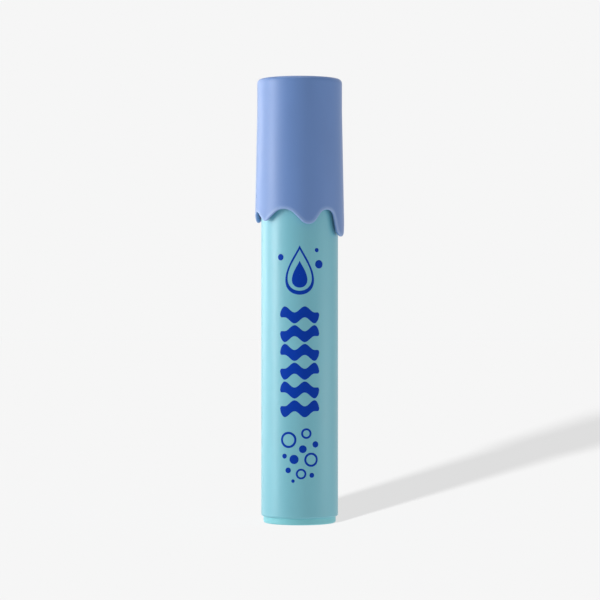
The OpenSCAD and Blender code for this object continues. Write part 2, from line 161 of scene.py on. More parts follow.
# Sizes derived from them
ARCH_Z = BARREL_Z1 - SKIRT_OVERLAP
FLARE_Z = CAP_Z1 - CAP_STRAIGHT
SKIRT_BORE_R = BARREL_R + SKIRT_GAP
SKIRT_R = SKIRT_BORE_R + SKIRT_WALL
CAP_TOP_R = SKIRT_R - CAP_FLARE
FLARE_SLOPE = CAP_FLARE / (FLARE_Z - ARCH_Z)
COLLAR_BORE_R = NECK_R + PUSH_FIT
COLLAR_R = COLLAR_BORE_R + COLLAR_WALL
FLANGE_Z1 = BARREL_Z1 + COLLAR_FLANGE_H
NOSE_ROOT_Z = NOSE_Z1 - NOSE_ROOT_DROP
DECK_Z = NOSE_ROOT_Z - COLLAR_DECK
NOSE_R = GUIDE_R + NOSE_WALL
NOSE_ROOT_R = CHAMBER_R + NOSE_ROOT_WALL
LEDGE_Z = NOSE_Z1 - GUIDE_LEN
CAP_BEAD_Z = NOSE_ROOT_Z - CAP_BEAD_DROP
SKIRT_STEP_Z = FLANGE_Z1 + STEP_GAP
LINER_BORE_R = COLLAR_R + LINER_GAP
LINER_R = LINER_BORE_R + LINER_WALL
LINER_DECK_Z = NOSE_ROOT_Z + LINER_DECK_RISE
SOCKET_R = SEAL_R + PUSH_FIT
SOCKET_WALL_R = SOCKET_R + LINER_WALL
SEAL_BORE_R = SEAL_R - SEAL_WALL


def cap_r(z):
    """Outer radius of the cap at a height."""
    return CAP_TOP_R + max(0.0, FLARE_Z - z) * FLARE_SLOPE


CAP_BORE_TOP_R = CAP_TOP_R - CAP_WALL
CAP_BORE_STEP_R = cap_r(SKIRT_STEP_Z) - CAP_WALL


def cap_bore_r(z):
    """Radius of the cap's bore at a height above the skirt's step."""
    share = (z - SKIRT_STEP_Z) / (LINER_Z1 - SKIRT_STEP_Z)
    return CAP_BORE_STEP_R + (CAP_BORE_TOP_R - CAP_BORE_STEP_R) * share


def at_angle(r, angle, z):
    """Point in millimetres at a radius, an angle from the front in radians, and a height."""
    return (r * math.sin(angle), -r * math.cos(angle), z)


# Camera: level, at half the pen's height, far enough away to look along its axis without a tilt
LENS = 141.0
SENSOR = 36.0
CAMERA_BACK = 0.674
CAMERA_HEIGHT = 0.0637
CAMERA_SIDE = 0.0001


def make_camera():
    data = bpy.data.cameras.new("camera")
    data.lens = LENS
    data.sensor_width = SENSOR
    data.clip_start = 0.01
    data.clip_end = 100
    cam = bpy.data.objects.new("camera", data)
    cam.location = (CAMERA_SIDE, -CAMERA_BACK, CAMERA_HEIGHT)
    cam.rotation_euler = (math.pi / 2, 0, 0)
    bpy.context.scene.collection.objects.link(cam)
    bpy.context.scene.camera = cam


# Finishes


def set_range(node, *numbers):
    """Numbers of a Map Range node: the range that comes in and the range that goes out."""
    for name, number in zip(("From Min", "From Max", "To Min", "To Max"), numbers):
        node.inputs[name].default_value = number


class Nodes:
    """A material's node tree with short calls for what the finishes below need."""

    def __init__(self, name):
        self.material = bpy.data.materials.new(name)
        self.material.use_nodes = True
        self.tree = self.material.node_tree
        self.shader = self.tree.nodes["Principled BSDF"]
        self.place = self.tree.nodes.new("ShaderNodeTexCoord").outputs["Object"]

    def link(self, source, target):
        self.tree.links.new(source, target)

    def noise(self, scale, detail=2.0, stretch=(1, 1, 1)):
        """Noise of about one feature per scale millimetres, longer along an axis by its stretch."""
        mapping = self.tree.nodes.new("ShaderNodeMapping")
        mapping.inputs["Scale"].default_value = [1 / s for s in stretch]
        self.link(self.place, mapping.inputs["Vector"])
        node = self.tree.nodes.new("ShaderNodeTexNoise")
        node.inputs["Scale"].default_value = 1 / (scale * MM)
        node.inputs["Detail"].default_value = detail
        self.link(mapping.outputs["Vector"], node.inputs["Vector"])
        return node.outputs["Fac"]

    def cells(self, size, smooth=0.0):
        """Distance to the nearest cell centre, for cells of a size in millimetres."""
        node = self.tree.nodes.new("ShaderNodeTexVoronoi")
        node.feature = "SMOOTH_F1" if smooth else "F1"
        if smooth:
            node.inputs["Smoothness"].default_value = smooth
        node.inputs["Scale"].default_value = 1 / (size * MM)
        self.link(self.place, node.inputs["Vector"])
        return node.outputs["Distance"]

    def between(self, value, out_low, out_high, in_low=0.3, in_high=0.7):
        """Value mapped from its usual range to another one."""
        node = self.tree.nodes.new("ShaderNodeMapRange")
        set_range(node, in_low, in_high, out_low, out_high)
        self.link(value, node.inputs["Value"])
        return node.outputs["Result"]

    def mix(self, factor, first, second):
        """Colour between two colours."""
        node = self.tree.nodes.new("ShaderNodeMix")
        node.data_type = "RGBA"
        node.inputs[6].default_value = (*first, 1)
        node.inputs[7].default_value = (*second, 1)
        self.link(factor, node.inputs[0])
        return node.outputs[2]

    def add(self, first, second, share=1.0):
        """first + share * second."""
        node = self.tree.nodes.new("ShaderNodeMath")
        node.operation = "MULTIPLY_ADD"
        self.link(second, node.inputs[0])
        node.inputs[1].default_value = share
        self.link(first, node.inputs[2])
        return node.outputs[0]

    def bump(self, height, depth):
        """Relief of a depth in millimetres."""
        node = self.tree.nodes.new("ShaderNodeBump")
        node.inputs["Distance"].default_value = depth * MM
        node.inputs["Strength"].default_value = 1.0
        self.link(height, node.inputs["Height"])
        self.link(node.outputs["Normal"], self.shader.inputs["Normal"])

    def colour(self, source):
        self.link(source, self.shader.inputs["Base Color"])

    def roughness(self, source):
        self.link(source, self.shader.inputs["Roughness"])

    def set(self, **values):
        """Uniform values, on the shader's own sockets."""
        for name, value in values.items():
            self.shader.inputs[name.replace("_", " ")].default_value = value


def shade(colour, factor):
    """A colour made lighter or darker."""
    return tuple(min(1.0, c * factor) for c in colour)


def moulded(name, colour, rough, grain=0.16, depth=0.004, spread=0.03, **values):
    """Moulded plastic: a fine eroded grain, faint flow clouds in the colour and an uneven gloss."""
    n = Nodes(name)
    clouds = n.noise(9.0, 3.0, stretch=(1, 1, 2.5))
    fine = n.noise(grain, 3.0)
    n.colour(n.mix(n.between(clouds, 0, 1), shade(colour, 1 - spread), shade(colour, 1 + spread)))
    n.roughness(n.add(n.between(clouds, rough - 0.02, rough + 0.02), n.between(fine, -1, 1), 0.02))
    n.bump(n.add(fine, n.noise(1.3, 2.0), 1.5), depth)
    n.set(**values)
    return n.material


# Colours, linear
CAP_COLOUR = (0.128, 0.256, 0.585)
# Painted highlight along the skirt's edge: a lighter copy of the cap's colour, standing in for light caught
# where the skirt thins out
CAP_RIM_HIGHLIGHT_COLOUR = (0.33, 0.48, 0.78)
BARREL_COLOUR = (0.18, 0.53, 0.635)
PLUG_COLOUR = (0.22, 0.63, 0.7)
INK_COLOUR = (0.001, 0.045, 0.42)
WHITE_COLOUR = (0.82, 0.84, 0.86)
NATURAL_COLOUR = (0.78, 0.79, 0.76)
SEAL_COLOUR = (0.55, 0.7, 0.78)
GASKET_COLOUR = (0.1, 0.11, 0.12)
FOAM_COLOUR = (0.62, 0.62, 0.6)
CLEANER_COLOUR = (0.7, 0.88, 0.92)
STEEL_COLOUR = (0.6, 0.61, 0.62)
FELT_COLOUR = (0.86, 0.87, 0.84)


def felt_finish():
    """Porous nib: pale grains with darker pores between them, where the darkening is painted shade, and random
    clouds of darker tone.
    """
    n = Nodes("nib_felt")
    grains = n.cells(0.32)
    clouds = n.between(n.noise(2.5, 2.0), 0, 0.25)
    # Painted shade in the pores between the grains, added to random clouds of darker tone
    dark = n.add(clouds, n.between(grains, 0, 0.6, 0.45, 0.85))
    n.colour(n.mix(dark, shade(FELT_COLOUR, 1.04), shade(FELT_COLOUR, 0.84)))
    n.roughness(n.between(grains, 0.82, 0.95, 0.2, 0.7))
    n.bump(n.add(n.noise(0.15, 3.0), grains, -1.5), 0.05)
    n.set(Specular_IOR_Level=0.25, Sheen_Weight=0.15, Sheen_Roughness=0.5)
    return n.material


def foam_finish():
    """Closed foam with a skin of fine bubbles."""
    n = Nodes("cushion_foam")
    bubbles = n.cells(0.55, smooth=0.4)
    dark = n.between(bubbles, 0, 1, 0.1, 0.6)
    n.colour(n.mix(dark, shade(FOAM_COLOUR, 1.06), shade(FOAM_COLOUR, 0.8)))
    n.roughness(n.between(bubbles, 0.85, 0.95, 0.1, 0.6))
    n.bump(n.add(n.noise(0.2, 2.0), bubbles, 2.0), 0.12)
    n.set(Specular_IOR_Level=0.2)
    return n.material


def steel_finish():
    """Drawn spring wire with fine lines along its turns."""
    n = Nodes("spring_steel")
    drawn = n.noise(0.03, 3.0, stretch=(12, 12, 1))
    n.colour(n.mix(n.between(drawn, 0, 1), shade(STEEL_COLOUR, 0.9), shade(STEEL_COLOUR, 1.08)))
    n.roughness(n.between(drawn, 0.2, 0.34))
    n.bump(drawn, 0.002)
    n.set(Metallic=1.0)
    return n.material


def cap_finish():
    """Soft-touch plastic with a painted highlight along the skirt's edge: a lighter colour where the skirt
    thins out to its edge, standing in for light caught there.
    """
    n = Nodes("cap_soft_touch")
    rim_light = n.tree.nodes.new("ShaderNodeAttribute")
    rim_light.attribute_name = RIM_LIGHT_ATTRIBUTE
    clouds = n.between(n.noise(9.0, 3.0, stretch=(1, 1, 2.5)), 0, 1)
    body = n.mix(clouds, shade(CAP_COLOUR, 0.97), shade(CAP_COLOUR, 1.03))
    # Painted highlight, mixed in towards the skirt's edge by the vertex attribute
    lit = n.tree.nodes.new("ShaderNodeMix")
    lit.data_type = "RGBA"
    n.link(rim_light.outputs["Fac"], lit.inputs[0])
    n.link(body, lit.inputs[6])
    lit.inputs[7].default_value = (*CAP_RIM_HIGHLIGHT_COLOUR, 1)
    n.colour(lit.outputs[2])
    fine = n.noise(0.12, 3.0)
    n.roughness(n.add(n.between(clouds, 0.46, 0.5, 0, 1), n.between(fine, -1, 1), 0.02))
    n.bump(n.add(fine, n.noise(1.3, 2.0), 1.5), 0.005)
    n.set(Sheen_Weight=0.3, Sheen_Roughness=0.35, Specular_IOR_Level=0.85)
    return n.material


def make_materials():
    """Every finish, by a short name."""
    m = {}
    m["cap"] = cap_finish()
    m["barrel"] = moulded("barrel_satin", BARREL_COLOUR, 0.42, grain=0.14, depth=0.003,
                          Sheen_Weight=0.2, Sheen_Roughness=0.35, Specular_IOR_Level=0.85)
    m["plug"] = moulded("plug_satin", PLUG_COLOUR, 0.44, grain=0.14, depth=0.004)
    m["ink"] = moulded("print_ink", INK_COLOUR, 0.45, grain=0.08, depth=0.002, spread=0.05,
                       Specular_IOR_Level=0.08)
    m["white"] = moulded("white_plastic", WHITE_COLOUR, 0.3, grain=0.5, depth=0.002, spread=0.015)
    m["natural"] = moulded("natural_plastic", NATURAL_COLOUR, 0.35, grain=0.6, depth=0.002, spread=0.02,
                           IOR=1.5, Transmission_Weight=0.35)
    m["seal"] = moulded("soft_seal", SEAL_COLOUR, 0.6, grain=0.1, depth=0.004)
    m["gasket"] = moulded("gasket_rubber", GASKET_COLOUR, 0.7, grain=0.08, depth=0.006, spread=0.1)
    m["foam"] = foam_finish()
    m["cleaner"] = moulded("cleaner", CLEANER_COLOUR, 0.06, grain=4, depth=0.01, spread=0.02,
                           IOR=1.34, Transmission_Weight=0.6)
    m["steel"] = steel_finish()
    m["felt"] = felt_finish()
    return m


# Meshes

# Vertex attribute of the cap that carries the painted highlight along the skirt's edge: 1 at the skirt's edge,
# 0 away from it
RIM_LIGHT_ATTRIBUTE = "rim_light"


def new_object(name, mesh, material, body, replaced=()):
    """A piece of the pen from a mesh: its finish, its body and the nodes that it replaces."""
    obj = bpy.data.objects.new(name, mesh)
    bpy.context.scene.collection.objects.link(obj)
    mesh.materials.append(material)
    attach(obj, body)
    if replaced:
        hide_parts(*replaced)
    return obj


def finish_mesh(name, bm):
    """Mesh in metres from a bmesh in millimetres, smooth, with outward normals."""
    bmesh.ops.scale(bm, vec=(MM, MM, MM), verts=bm.verts)
    bmesh.ops.recalc_face_normals(bm, faces=bm.faces)
    for face in bm.faces:
        face.smooth = True
    mesh = bpy.data.meshes.new(name)
    bm.to_mesh(mesh)
    bm.free()
    return mesh


def add_rows(bm, rows, wrap=True, closed=False):
    """Adds the surface through rows of points. A row of one point is a pole. wrap joins each row's
    ends, and closed joins the last row to the first."""
    made = [[bm.verts.new(p) for p in row] for row in rows]
    pairs = list(zip(made, made[1:]))
    if closed:
        pairs.append((made[-1], made[0]))
    for a, b in pairs:
        count = max(len(a), len(b))
        for i in range(count if wrap else count - 1):
            k = (i + 1) % count
            if count == 1:
                break
            if len(a) == 1:
                bm.faces.new((a[0], b[k], b[i]))
            elif len(b) == 1:
                bm.faces.new((a[i], a[k], b[0]))
            else:
                bm.faces.new((a[i], a[k], b[k], b[i]))
    return made


def rounded(corners, closed=False, steps=6):
    """Profile through (radius, height, rounding) corners, with an arc at each rounded corner and a
    point just outside each end of the arc, which keeps the flat beside it flat."""
    points = []
    last = len(corners) - 1
    for i, (r, z, f) in enumerate(corners):
        here = Vector((r, z))
        if not f or (not closed and i in (0, last)):
            points.append(here)
            continue
        before = (Vector(corners[i - 1][:2]) - here).normalized()
        after = (Vector(corners[(i + 1) % (last + 1)][:2]) - here).normalized()
        half = before.angle(after) / 2
        reach = f / math.tan(half)
        support = reach + min(0.1, 0.2 * f)
        centre = here + (before + after).normalized() * (f / math.sin(half))
        start = here + before * reach - centre
        turn = start.angle_signed(here + after * reach - centre)
        points.append(here + before * support)
        for k in range(steps + 1):
            a = -turn * k / steps
            cos, sin = math.cos(a), math.sin(a)
            spun = Vector((start.x * cos - start.y * sin, start.x * sin + start.y * cos))
            points.append(centre + spun)
        points.append(here + after * support)
    return points


def arc(centre_r, centre_z, radius, start, end, steps=10):
    """Points of a profile along an arc, from one angle to another in degrees."""
    turns = [math.radians(start + (end - start) * k / steps) for k in range(steps + 1)]
    return [Vector((centre_r + radius * math.cos(a), centre_z + radius * math.sin(a))) for a in turns]


def turned_rows(profile, segments):
    """Rows of points for a profile of (radius, height) turned round the axis."""
    rows = []
    for r, z in profile:
        if r < 1e-6:
            rows.append([(0, 0, z)])
        else:
            rows.append([at_angle(r, 2 * math.pi * k / segments, z) for k in range(segments)])
    return rows


def turned(name, profile, closed=False, segments=256):
    """Mesh of a solid of revolution."""
    bm = bmesh.new()
    add_rows(bm, turned_rows(profile, segments), closed=closed)
    return finish_mesh(name, bm)


# Cap shell

# Spacing of the points along the skirt's edge
EDGE_STEP = 0.13


def half_drip(length, tip_r, arch_u, dip, bow_r):
    """One side of a drip as (sideways, height) from the bottom of its tip to the top of the arch:
    an arc, the straight line that touches both circles, and an arc the other way."""
    tip = Vector((0, tip_r - length))
    bow = Vector((arch_u, -dip - bow_r))
    across = bow - tip
    normal = math.atan2(across.y, across.x) - math.acos((tip_r + bow_r) / across.length)
    down = math.degrees(normal)

    def steps(radius):
        return max(4, round(radius * math.radians(down + 90) / EDGE_STEP))

    tip_arc = arc(tip.x, tip.y, tip_r, -90, down, steps(tip_r))
    return tip_arc + arc(bow.x, bow.y, bow_r, down + 180, 90, steps(bow_r))


def skirt_edge():
    """The skirt's wavy edge, unrolled at the skirt's radius: evenly spaced (along, height) points."""
    line = []
    for i, (at, length, tip_r) in enumerate(DRIPS):
        after = ARCHES[i]
        before = ARCHES[i - 1]
        back = before[0] - (360 if i == 0 else 0)
        sides = []
        for angle, dip, bow_r in (after, (back, *before[1:])):
            reach = SKIRT_R * abs(math.sin(math.radians(angle - at)))
            sides.append(half_drip(length, tip_r, reach, dip, bow_r))
        drip = [Vector((-p.x, p.y)) for p in reversed(sides[1])] + sides[0][1:]
        for p in drip[:-1]:
            line.append((SKIRT_R * (math.radians(at) + math.asin(p.x / SKIRT_R)), p.y))
    line = np.array(line)
    closing = line[0] + (2 * math.pi * SKIRT_R, 0)
    line = np.vstack([line, closing])
    travelled = np.concatenate([[0], np.cumsum(np.hypot(*np.diff(line, axis=0).T))])
    count = round(travelled[-1] / EDGE_STEP)
    even = np.linspace(0, travelled[-1], count, endpoint=False)
    along = np.interp(even, travelled, line[:, 0])
    height = np.interp(even, travelled, line[:, 1])
    return np.stack([along, ARCH_Z + height], 1)


def edge_normals(edge):
    """Unit vectors from the edge into the skirt."""
    around = np.array([2 * math.pi * SKIRT_R, 0])
    behind = np.vstack([edge[-1:] - around, edge[:-1]])
    ahead = np.vstack([edge[1:], edge[:1] + around])
    run = ahead - behind
    normals = np.stack([-run[:, 1], run[:, 0]], 1)
    normals /= np.linalg.norm(normals, axis=1)[:, None]
    smooth = (np.roll(normals, 1, 0) + 2 * normals + np.roll(normals, -1, 0)) / 4
    return smooth / np.linalg.norm(smooth, axis=1)[:, None]


def cap_shell_mesh():
    """Cap with a rounded top and a wavy skirt whose edge has the same rounding all along."""
    edge = skirt_edge()
    inward = edge_normals(edge)
    angles = edge[:, 0] / SKIRT_R
    rows, rim_lights = [], []

    def add(row, rim_light=0.0):
        rows.append(row)
        rim_lights.append(rim_light)

    def ring(r, z):
        return [at_angle(r, a, z) for a in angles]

    def lip_row(d, radius_at):
        points = edge + d * inward
        return [at_angle(radius_at(z), s / SKIRT_R, z) for s, z in points]

    add([(0, 0, CAP_Z1)])
    top = rounded([(0, CAP_Z1, 0), (CAP_TOP_R, CAP_Z1, CAP_ROUND), (CAP_TOP_R, FLARE_Z, 0)], steps=12)
    for r, z in [(CAP_TOP_R * 0.3, CAP_Z1), (CAP_TOP_R * 0.6, CAP_Z1), *top[1:]]:
        add(ring(r, z))
    root_z = ARCH_Z + LIP_PLAIN + 0.5
    for z in np.linspace(FLARE_Z, root_z, 9)[1:]:
        add(ring(cap_r(z), z))
    relaxed = edge + RIM_REACH * inward
    for share in (0.33, 0.67, 1.0):
        row = []
        for (s0, z1), a in zip(relaxed, angles):
            z = root_z + (z1 - root_z) * share
            row.append(at_angle(cap_r(z), a + (s0 / SKIRT_R - a) * share, z))
        add(row)
    # The lip's rows carry the painted highlight, stronger towards the edge, with a weaker share on the ease
    # inside
    for share in (0.2, 0.5, 0.8):
        add(lip_row(RIM_REACH + (LIP_OUTER - RIM_REACH) * share, cap_r), RIM_HIGHLIGHT * share)
    quarter = [math.pi / 2 * k / LIP_STEPS for k in range(LIP_STEPS + 1)]
    for b in quarter:
        depth = LIP_OUTER * (1 - math.cos(b))
        add(lip_row(LIP_OUTER * (1 - math.sin(b)), lambda z: cap_r(z) - depth), RIM_HIGHLIGHT)
    for b in quarter:
        depth = LIP_DEPTH * (1 - math.sin(b))
        add(lip_row(LIP_INNER * (1 - math.cos(b)), lambda z: SKIRT_BORE_R + depth), INNER_HIGHLIGHT)
    add(lip_row(LIP_PLAIN, lambda z: SKIRT_BORE_R))
    inside = rounded([(SKIRT_BORE_R, root_z, 0), (SKIRT_BORE_R, SKIRT_STEP_Z, 0.2),
                      (CAP_BORE_STEP_R, SKIRT_STEP_Z, 0.2), (CAP_BORE_TOP_R, LINER_Z1, 0.4), (0, LINER_Z1, 0)])
    for r, z in inside[:-1]:
        add(ring(r, z))
    add([(0, 0, LINER_Z1)])
    bm = bmesh.new()
    layer = bm.verts.layers.float.new(RIM_LIGHT_ATTRIBUTE)
    for row, rim_light in zip(add_rows(bm, rows), rim_lights):
        for v in row:
            v[layer] = rim_light
    return finish_mesh("cap_shell_skin", bm)


def make_cap_shell(m):
    new_object("cap_shell_skin", cap_shell_mesh(), m["cap"], BODY_CAP, ["cap_shell"])


def make_barrel(m):
    bore = BARREL_R - BARREL_WALL
    hole = NECK_R + SHOULDER_GAP
    shoulder_z = BARREL_Z1 - BARREL_SHOULDER
    profile = rounded([(bore, BARREL_Z0, 0.15), (BARREL_R, BARREL_Z0, BARREL_LIP),
                       (BARREL_R, BARREL_Z1, BARREL_TOP_ROUND), (hole, BARREL_Z1, 0.15),
                       (hole, shoulder_z, 0.15), (bore, shoulder_z, 0.3)], closed=True)
    new_object("barrel_skin", turned("barrel_skin", profile, closed=True), m["barrel"], BODY_PEN,
               ["barrel"])


def make_plug(m):
    spigot_r = BARREL_R - BARREL_WALL - PUSH_FIT
    hollow_r = spigot_r - SPIGOT_WALL
    foot_r = PLUG_R - FOOT_RING
    profile = rounded([(0, FOOT_RECESS, 0), (foot_r, FOOT_RECESS, 0.2), (foot_r, 0, 0.2),
                       (PLUG_R, 0, PLUG_EDGE), (PLUG_R, BARREL_Z0, 0.1), (spigot_r, BARREL_Z0, 0.1),
                       (spigot_r, SPIGOT_Z1, SPIGOT_WALL / 2), (hollow_r, SPIGOT_Z1, 0.2),
                       (hollow_r, BARREL_Z0, 0.3), (0, BARREL_Z0, 0)])
    new_object("base_plug_skin", turned("base_plug_skin", profile), m["plug"], BODY_PEN,
               ["base_plug"])


def make_collar(m):
    """Nose piece: flange, cylinder with the bead that holds the cap, and cone with the nib's bore."""
    outer = rounded([(COLLAR_BORE_R, BARREL_Z1, 0.1), (LINER_R - FLANGE_INSET, BARREL_Z1, 0.15),
                     (LINER_R - FLANGE_INSET, FLANGE_Z1, 0.4), (COLLAR_R, FLANGE_Z1, 0.25),
                     (COLLAR_R, CAP_BEAD_Z - CAP_BEAD_ROUND, 0)])
    bead = arc(COLLAR_R + CAP_BEAD - CAP_BEAD_ROUND, CAP_BEAD_Z, CAP_BEAD_ROUND, -60, 60)
    nose = rounded([(COLLAR_R, CAP_BEAD_Z + CAP_BEAD_ROUND, 0), (COLLAR_R, NOSE_ROOT_Z, 0.5),
                    (NOSE_ROOT_R, NOSE_ROOT_Z, 0.2), (NOSE_R, NOSE_Z1, 0.35), (GUIDE_R, NOSE_Z1, 0.2),
                    (GUIDE_R, LEDGE_Z, 0.1), (CHAMBER_R, LEDGE_Z, 0.15), (CHAMBER_R, DECK_Z, 0.1),
                    (COLLAR_BORE_R, DECK_Z, 0.2), (COLLAR_BORE_R, BARREL_Z1 + 1, 0)])
    profile = [*outer, *bead, *nose]
    new_object("collar_nose", turned("collar_nose", profile, closed=True), m["white"], BODY_PEN,
               ["collar"])


# Fibres of the nib: height of their ends above the dome, and size of the tufts, in millimetres
NIB_PILE = 0.05
NIB_TUFT = 0.28


def make_nib(m):
    """Porous dome on its shank, with a pile of fibre ends in its surface."""
    shank_r = GUIDE_R - RUN_FIT - HOLDER_WALL - PUSH_FIT
    nib_z0 = NIB_Z1 - NIB_OVERHANG_Z
    dome_z = NIB_Z1 - NIB_R
    profile = rounded([(0, low("nib").z, 0), (shank_r, low("nib").z, 0.2), (shank_r, nib_z0, 0.1),
                       (NIB_R, nib_z0, NIB_EDGE), (NIB_R, dome_z, 0)], steps=5)
    profile += arc(0, dome_z, NIB_R, 0, 90, 80)[1:-1]
    profile.append(Vector((0, NIB_Z1)))
    bm = bmesh.new()
    add_rows(bm, turned_rows(profile, 240))
    for v in bm.verts:
        if v.co.z > nib_z0 + NIB_EDGE / 2:
            away = Vector((v.co.x, v.co.y, max(0, v.co.z - dome_z))).normalized()
            v.co += away * (NIB_PILE * (noise.noise(v.co / NIB_TUFT) - 1) / 2)
    new_object("nib_felt_tip", finish_mesh("nib_felt_tip", bm), m["felt"], BODY_TIP,
               ["nib"])


def add_rib(bm, angle):
    """One rib of the liner: a thin plate between the liner and the cap's bore, with eased edges."""
    foot_z = SKIRT_STEP_Z + RIB_START
    knee_z = LINER_DECK_Z + LINER_WALL / 2
    outline = [(LINER_R - PUSH_FIT, foot_z), (cap_bore_r(foot_z) - PUSH_FIT, foot_z),
               (CAP_BORE_TOP_R - PUSH_FIT, LINER_Z1), (SOCKET_WALL_R - PUSH_FIT, LINER_Z1),
               (SOCKET_WALL_R - PUSH_FIT, knee_z), (LINER_R - PUSH_FIT, knee_z)]
    out = Vector(at_angle(1, angle, 0))
    side = out.cross(Vector((0, 0, 1)))
    faces = []
    for shift in (-RIB_T / 2, RIB_T / 2):
        faces.append([bm.verts.new(out * r + side * shift + Vector((0, 0, z))) for r, z in outline])
    made = [bm.faces.new(faces[0]), bm.faces.new(reversed(faces[1]))]
    for i in range(len(outline)):
        k = (i + 1) % len(outline)
        made.append(bm.faces.new((faces[0][k], faces[0][i], faces[1][i], faces[1][k])))
    edges = {e for f in made for e in f.edges}
    bmesh.ops.bevel(bm, geom=list(edges), offset=0.12, segments=2, affect="EDGES", profile=0.5)


def make_liner(m):
    """Inner cap with its snap bead, the deck that steps in to the soft seal, and the ribs."""
    bead_z = CAP_BEAD_Z - LINER_BEAD_SPACING
    top_z = LINER_DECK_Z + LINER_WALL
    wall = rounded([(LINER_BORE_R, LINER_Z0, 0.15), (LINER_R, LINER_Z0, 0.3), (LINER_R, top_z, 0.45),
                    (SOCKET_WALL_R, top_z, 0.2), (SOCKET_WALL_R, LINER_Z1, 0.3), (0, LINER_Z1, 0)])
    ceiling = LINER_Z1 - LINER_TOP_H
    inner = rounded([(0, ceiling, 0), (SOCKET_R, ceiling, 0.1), (SOCKET_R, LINER_DECK_Z, 0.2),
                     (LINER_BORE_R, LINER_DECK_Z, 0.3), (LINER_BORE_R, bead_z + 0.6, 0)])
    bead = arc(LINER_BORE_R + LINER_BEAD_ROUND - LINER_BEAD, bead_z, LINER_BEAD_ROUND, 123, 237)
    bm = bmesh.new()
    rows = turned_rows([(LINER_BORE_R, LINER_Z0 + 0.5), *wall[1:], *inner, *bead], 192)
    add_rows(bm, rows, closed=True)
    for k in range(RIBS):
        add_rib(bm, math.pi / 2 + 2 * math.pi * k / RIBS)
    mesh = finish_mesh("cap_liner_ribbed", bm)
    mesh.set_sharp_from_angle(angle=math.radians(40))
    new_object("cap_liner_ribbed", mesh, m["white"], BODY_CAP, ["cap_liner"])


def make_inner_seal(m):
    """Soft cup, thinner at its mouth where it closes round the nose."""
    slope = (NOSE_ROOT_R - NOSE_R) / (NOSE_Z1 - NOSE_ROOT_Z)
    mouth_r = NOSE_R + RUN_FIT + slope * (NOSE_Z1 - SEAL_Z0)
    bore_z = NOSE_Z1 - (SEAL_BORE_R - NOSE_R - RUN_FIT) / slope
    ceiling = SEAL_Z1 - SEAL_TOP
    profile = rounded([(0, ceiling, 0), (SEAL_BORE_R, ceiling, 0.5), (SEAL_BORE_R, bore_z, 0.2),
                       (mouth_r, SEAL_Z0, 0.1), (SEAL_R, SEAL_Z0, SEAL_WALL / 3), (SEAL_R, SEAL_Z1, 0.3),
                       (0, SEAL_Z1, 0)])
    new_object("cap_seal_cup", turned("cap_seal_cup", profile, segments=192), m["seal"], BODY_CAP,
               ["cap_inner_seal"])


def make_spring(m):
    """Coil with closed ends, on a mesh of its own. The real spring shortens as the nib presses in."""
    z0 = low("valve_spring").z
    length = high("valve_spring").z - z0
    mean_r = high("valve_spring").x - SPRING_WIRE / 2
    end_turn = 1 / SPRING_TURNS
    rise = length - SPRING_WIRE - 2 * CLOSED_PITCH
    steps, sides = SPRING_TURNS * 60, 14
    rows = []
    for i in range(steps + 1):
        t = i / steps
        z = z0 + SPRING_WIRE / 2 + CLOSED_PITCH * (min(t, end_turn) + max(0, t - 1 + end_turn)) / end_turn
        z += rise * max(0, min(1, (t - end_turn) / (1 - 2 * end_turn)))
        turn = math.pi / 2 + 2 * math.pi * SPRING_TURNS * t
        ring = []
        for j in range(sides):
            b = 2 * math.pi * j / sides
            out, up = SPRING_WIRE / 2 * math.cos(b), SPRING_WIRE / 2 * math.sin(b)
            ring.append(at_angle(mean_r + out, turn, z + up))
        rows.append(ring)
    ends = [[tuple(np.mean(ring, axis=0))] for ring in (rows[0], rows[-1])]
    bm = bmesh.new()
    add_rows(bm, [ends[0], *rows, ends[1]])
    mesh = finish_mesh("valve_spring_coil", bm)
    mesh.set_sharp_from_angle(angle=math.radians(50))
    obj = new_object("valve_spring_coil", mesh, m["steel"], BODY_PEN, ["valve_spring"])
    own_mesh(obj)


def make_cushion(m):
    """Soft disc of closed foam under the bottle."""
    z0, z1, r = low("base_cushion").z, high("base_cushion").z, high("base_cushion").x
    edge = rounded([(r - 1, z0, 0), (r, z0, 0.35), (r, z1, 0.35), (r - 1, z1, 0)])
    profile = [(0, z0), (r * 0.5, z0), *edge, (r * 0.5, z1), (0, z1)]
    mesh = turned("base_cushion_foam", profile, segments=128)
    obj = new_object("base_cushion_foam", mesh, m["foam"], BODY_PEN, ["base_cushion"])


# Finishes of the CAD nodes that show as they are
KEPT = {"inner_bottle": "natural", "cleaning_fluid": "cleaner", "valve_gasket": "gasket",
        "valve_body": "natural", "valve_cage": "natural", "valve_stem": "white",
        "valve_seal_ring": "gasket", "nib_holder": "white"}


def dress_kept_nodes(m):
    for node, finish in KEPT.items():
        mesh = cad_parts[node].data
        mesh.materials.clear()
        mesh.materials.append(m[finish])


# Print on the barrel: a drop, a column of waves and some bubbles, as a thin film of ink.
# Places and sizes are (along the barrel's round, height), from the front's middle line.
INK_T = 0.02
INK_SINK = 0.04
INK_STEP = 0.25
# Size of the pinhole that a filled shape's rings end on, as a share of its outline
FILLED = 0.004


